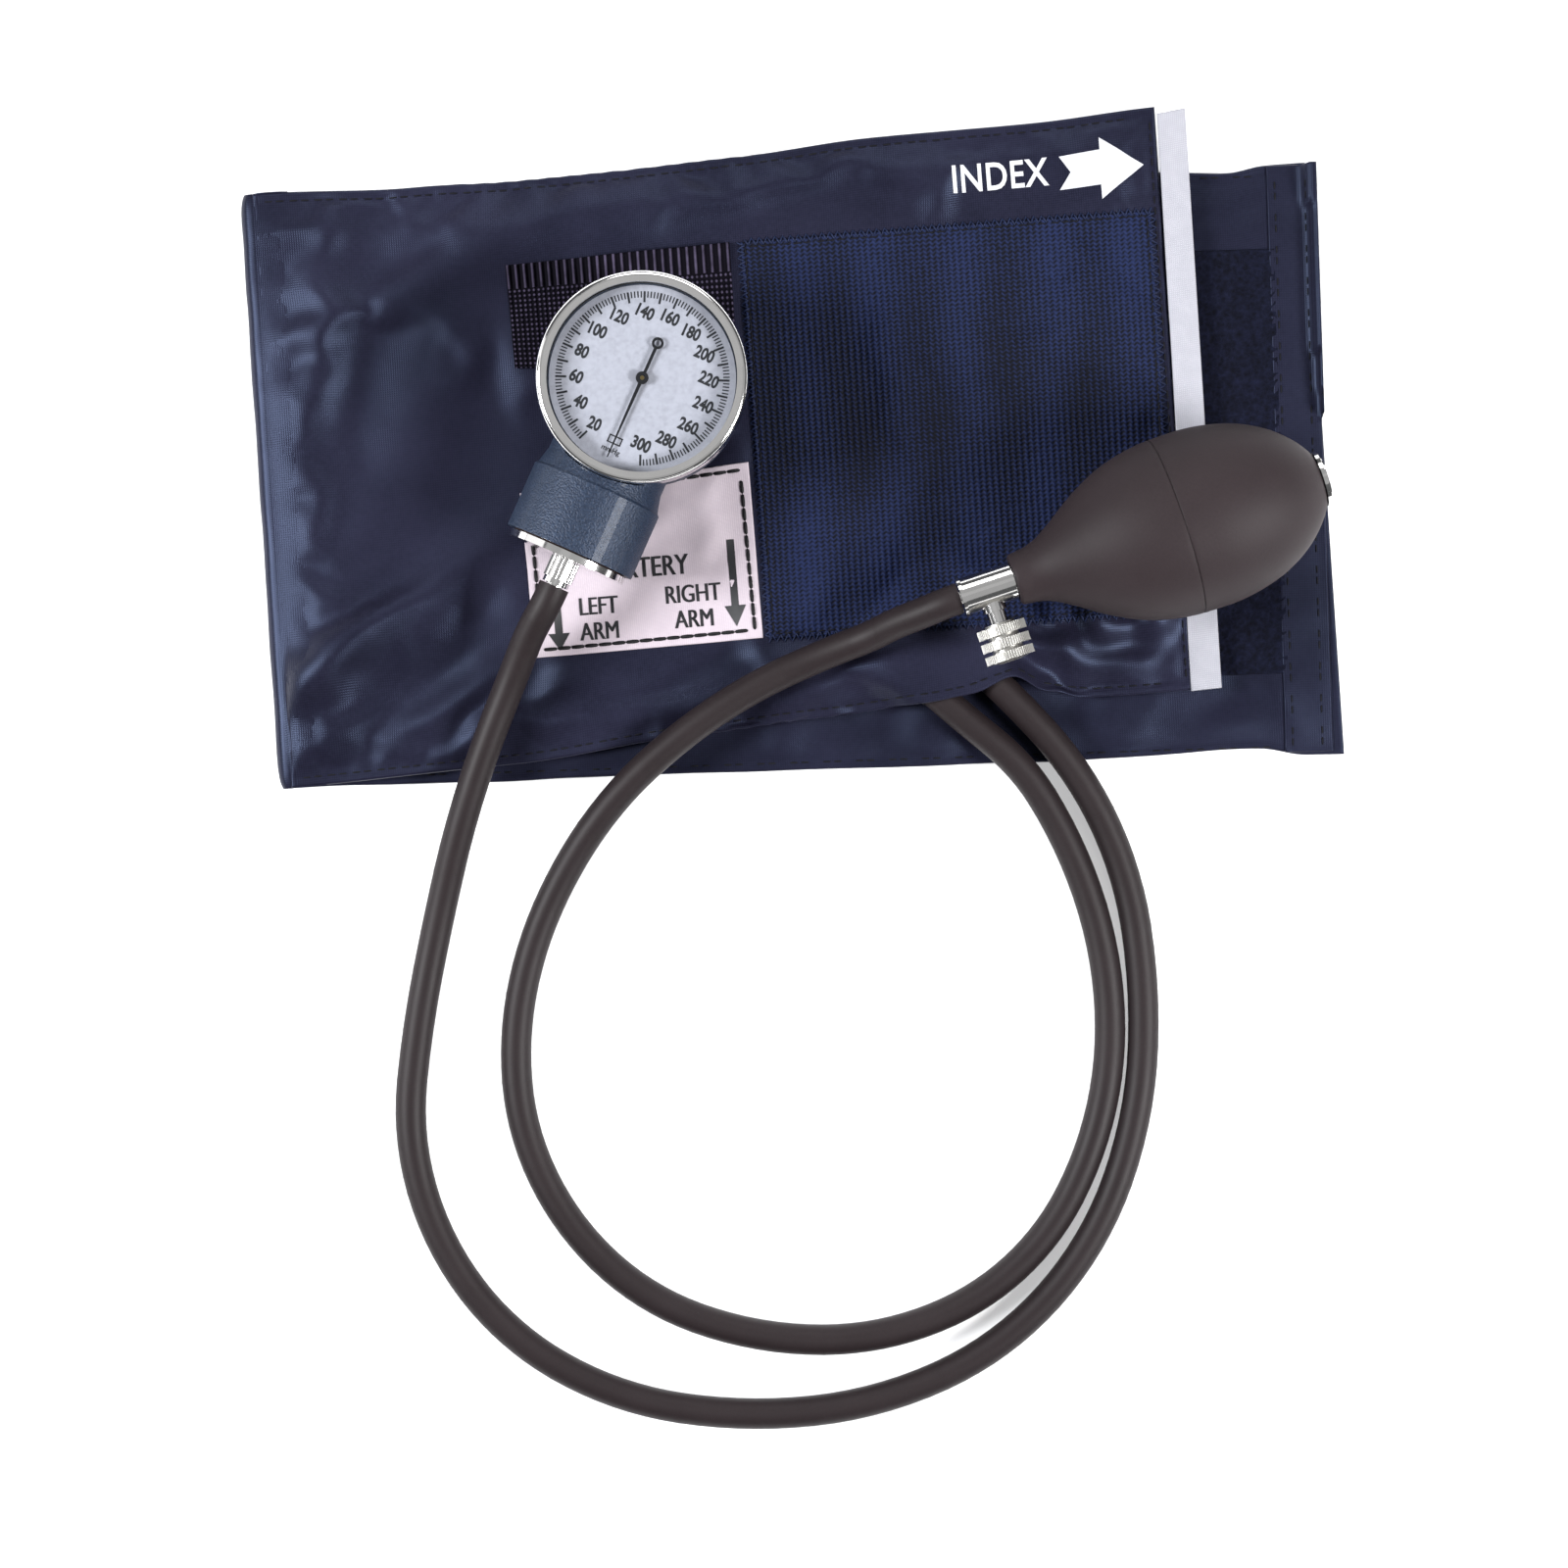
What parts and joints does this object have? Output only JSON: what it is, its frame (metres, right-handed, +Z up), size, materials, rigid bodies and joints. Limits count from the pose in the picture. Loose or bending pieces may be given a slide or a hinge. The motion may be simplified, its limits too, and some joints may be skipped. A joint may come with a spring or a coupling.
{
  "type": "aneroid blood pressure cuff",
  "caption": "Folded nylon blood pressure cuff with a dial gauge clipped on a strap, a rubber inflation bulb with a release valve and looped rubber hoses.",
  "frame": {"origin": "on the surface the cuff lies on, under the middle of the folded cuff", "axes": "+Z up from the surface, +X along the folded cuff away from the fold, +Y across the cuff on the side away from the hoses"},
  "size_m": [0.2649, 0.3201, 0.05],
  "materials": {
    "nylon": "woven satin sheen",
    "loop_pile": "brushed pile",
    "hook_knit": "zig-zag knit",
    "webbing": "ribbed weave",
    "label_satin": "printed satin",
    "index_tape": "narrow woven tape",
    "bladder_rubber": "matte",
    "hose_rubber": "matte",
    "bulb_rubber": "matte with a mould seam",
    "flap_rubber": "matte",
    "seal_rubber": "matte",
    "chrome": "polished",
    "steel": "bright",
    "brass": "turned",
    "hammertone": "hammertone enamel",
    "gasket_fibre": "pressed fibre",
    "diaphragm_bronze": "rolled bronze sheet",
    "dial_enamel": "satin enamel with black print",
    "pointer_black": "satin black",
    "lens_glass": "clear"
  },
  "bodies": {
    "cuff": {"cuff_inner_ply": "nylon", "bladder": "bladder_rubber", "cuff_outer_ply": "nylon", "hook_panel": "hook_knit", "gauge_strap": "webbing", "artery_label": "label_satin", "index_strip": "index_tape", "bladder_sleeves": "bladder_rubber", "gauge_hose": "hose_rubber", "bulb_hose": "hose_rubber", "bulb": "bulb_rubber", "intake_valve_body": "chrome", "intake_valve_ring": "chrome", "release_valve_body": "chrome", "check_valve_seat": "brass", "gland_bush": "chrome", "gland_o_ring": "seal_rubber", "gauge_housing": "hammertone", "end_plate": "chrome", "end_plate_gasket": "gasket_fibre", "outer_diaphragm": "diaphragm_bronze", "inner_diaphragm": "diaphragm_bronze", "capsule_boss": "brass", "lower_movement_plate": "brass", "upper_movement_plate": "brass", "movement_pillars": "brass", "movement_screws": "steel", "hairspring": "steel", "dial_plate": "dial_enamel", "lens_gasket": "seal_rubber", "lens": "lens_glass", "bezel": "chrome", "hose_connector": "chrome", "back_clip": "steel", "clip_screws": "steel"},
    "tail": {"tail_outer_ply": "nylon", "tail_inner_ply": "nylon", "loop_panel": "loop_pile", "tail_end_hem": "nylon"},
    "sector": {"sector_gear": "brass"},
    "pointer_shaft": {"pinion_arbor": "brass", "pointer": "pointer_black", "pointer_hub": "pointer_black"},
    "rod": {"push_rod": "brass"},
    "collar": {"lock_collar": "chrome"},
    "needle": {"release_needle": "steel"},
    "knob": {"release_knob": "chrome"},
    "check_flap": {"check_valve_disc": "flap_rubber"},
    "intake_flap": {"intake_valve_disc": "flap_rubber"}
  },
  "joints": [
    {"name": "cuff_fold", "type": "hinge", "parent": "cuff", "child": "tail", "pos_m": [-0.1266, -0.0031, 0.0031], "axis": [-0.0663, 0.9978, 0], "range_deg": [0, 179]},
    {"name": "sector_rock", "type": "hinge", "parent": "cuff", "child": "sector", "pos_m": [-0.04429, 0.00739, 0.024], "axis": [0, 0, 1], "range_deg": [0, 42.19]},
    {"name": "pointer_turn", "type": "hinge", "parent": "cuff", "child": "pointer_shaft", "pos_m": [-0.0355, 0.021, 0.03], "axis": [0, 0, -1], "range_deg": [0, 337.5]},
    {"name": "push_rod_slide", "type": "slide", "parent": "cuff", "child": "rod", "axis": [0.4067, 0.9135, 0], "range_m": [0, 0.00181]},
    {"name": "collar_turn", "type": "hinge", "parent": "cuff", "child": "collar", "pos_m": [-0.05502, -0.02285, 0.024], "axis": [-0.4067, -0.9135, 0], "range_deg": [0, 180]},
    {"name": "needle_slide", "type": "slide", "parent": "cuff", "child": "needle", "axis": [0.314, -0.9494, 0], "range_m": [0, 0.00071]},
    {"name": "knob_turn", "type": "hinge", "parent": "needle", "child": "knob", "pos_m": [0.04947, -0.03919, 0.0286], "axis": [0.314, -0.9494, 0], "range_deg": [0, 360]},
    {"name": "check_flap_lift", "type": "slide", "parent": "cuff", "child": "check_flap", "axis": [-0.9494, -0.314, 0], "range_m": [0, 0.0008]},
    {"name": "intake_flap_lift", "type": "slide", "parent": "cuff", "child": "intake_flap", "axis": [-0.9494, -0.314, 0], "range_m": [0, 0.0008]}
  ],
  "couplings": [
    {"joint": "pointer_turn", "follows": "sector_rock", "ratio": 8},
    {"joint": "push_rod_slide", "follows": "sector_rock", "m_per_rad": 0.0024439},
    {"joint": "needle_slide", "follows": "knob_turn", "m_per_rad": 0.00011141}
  ]
}
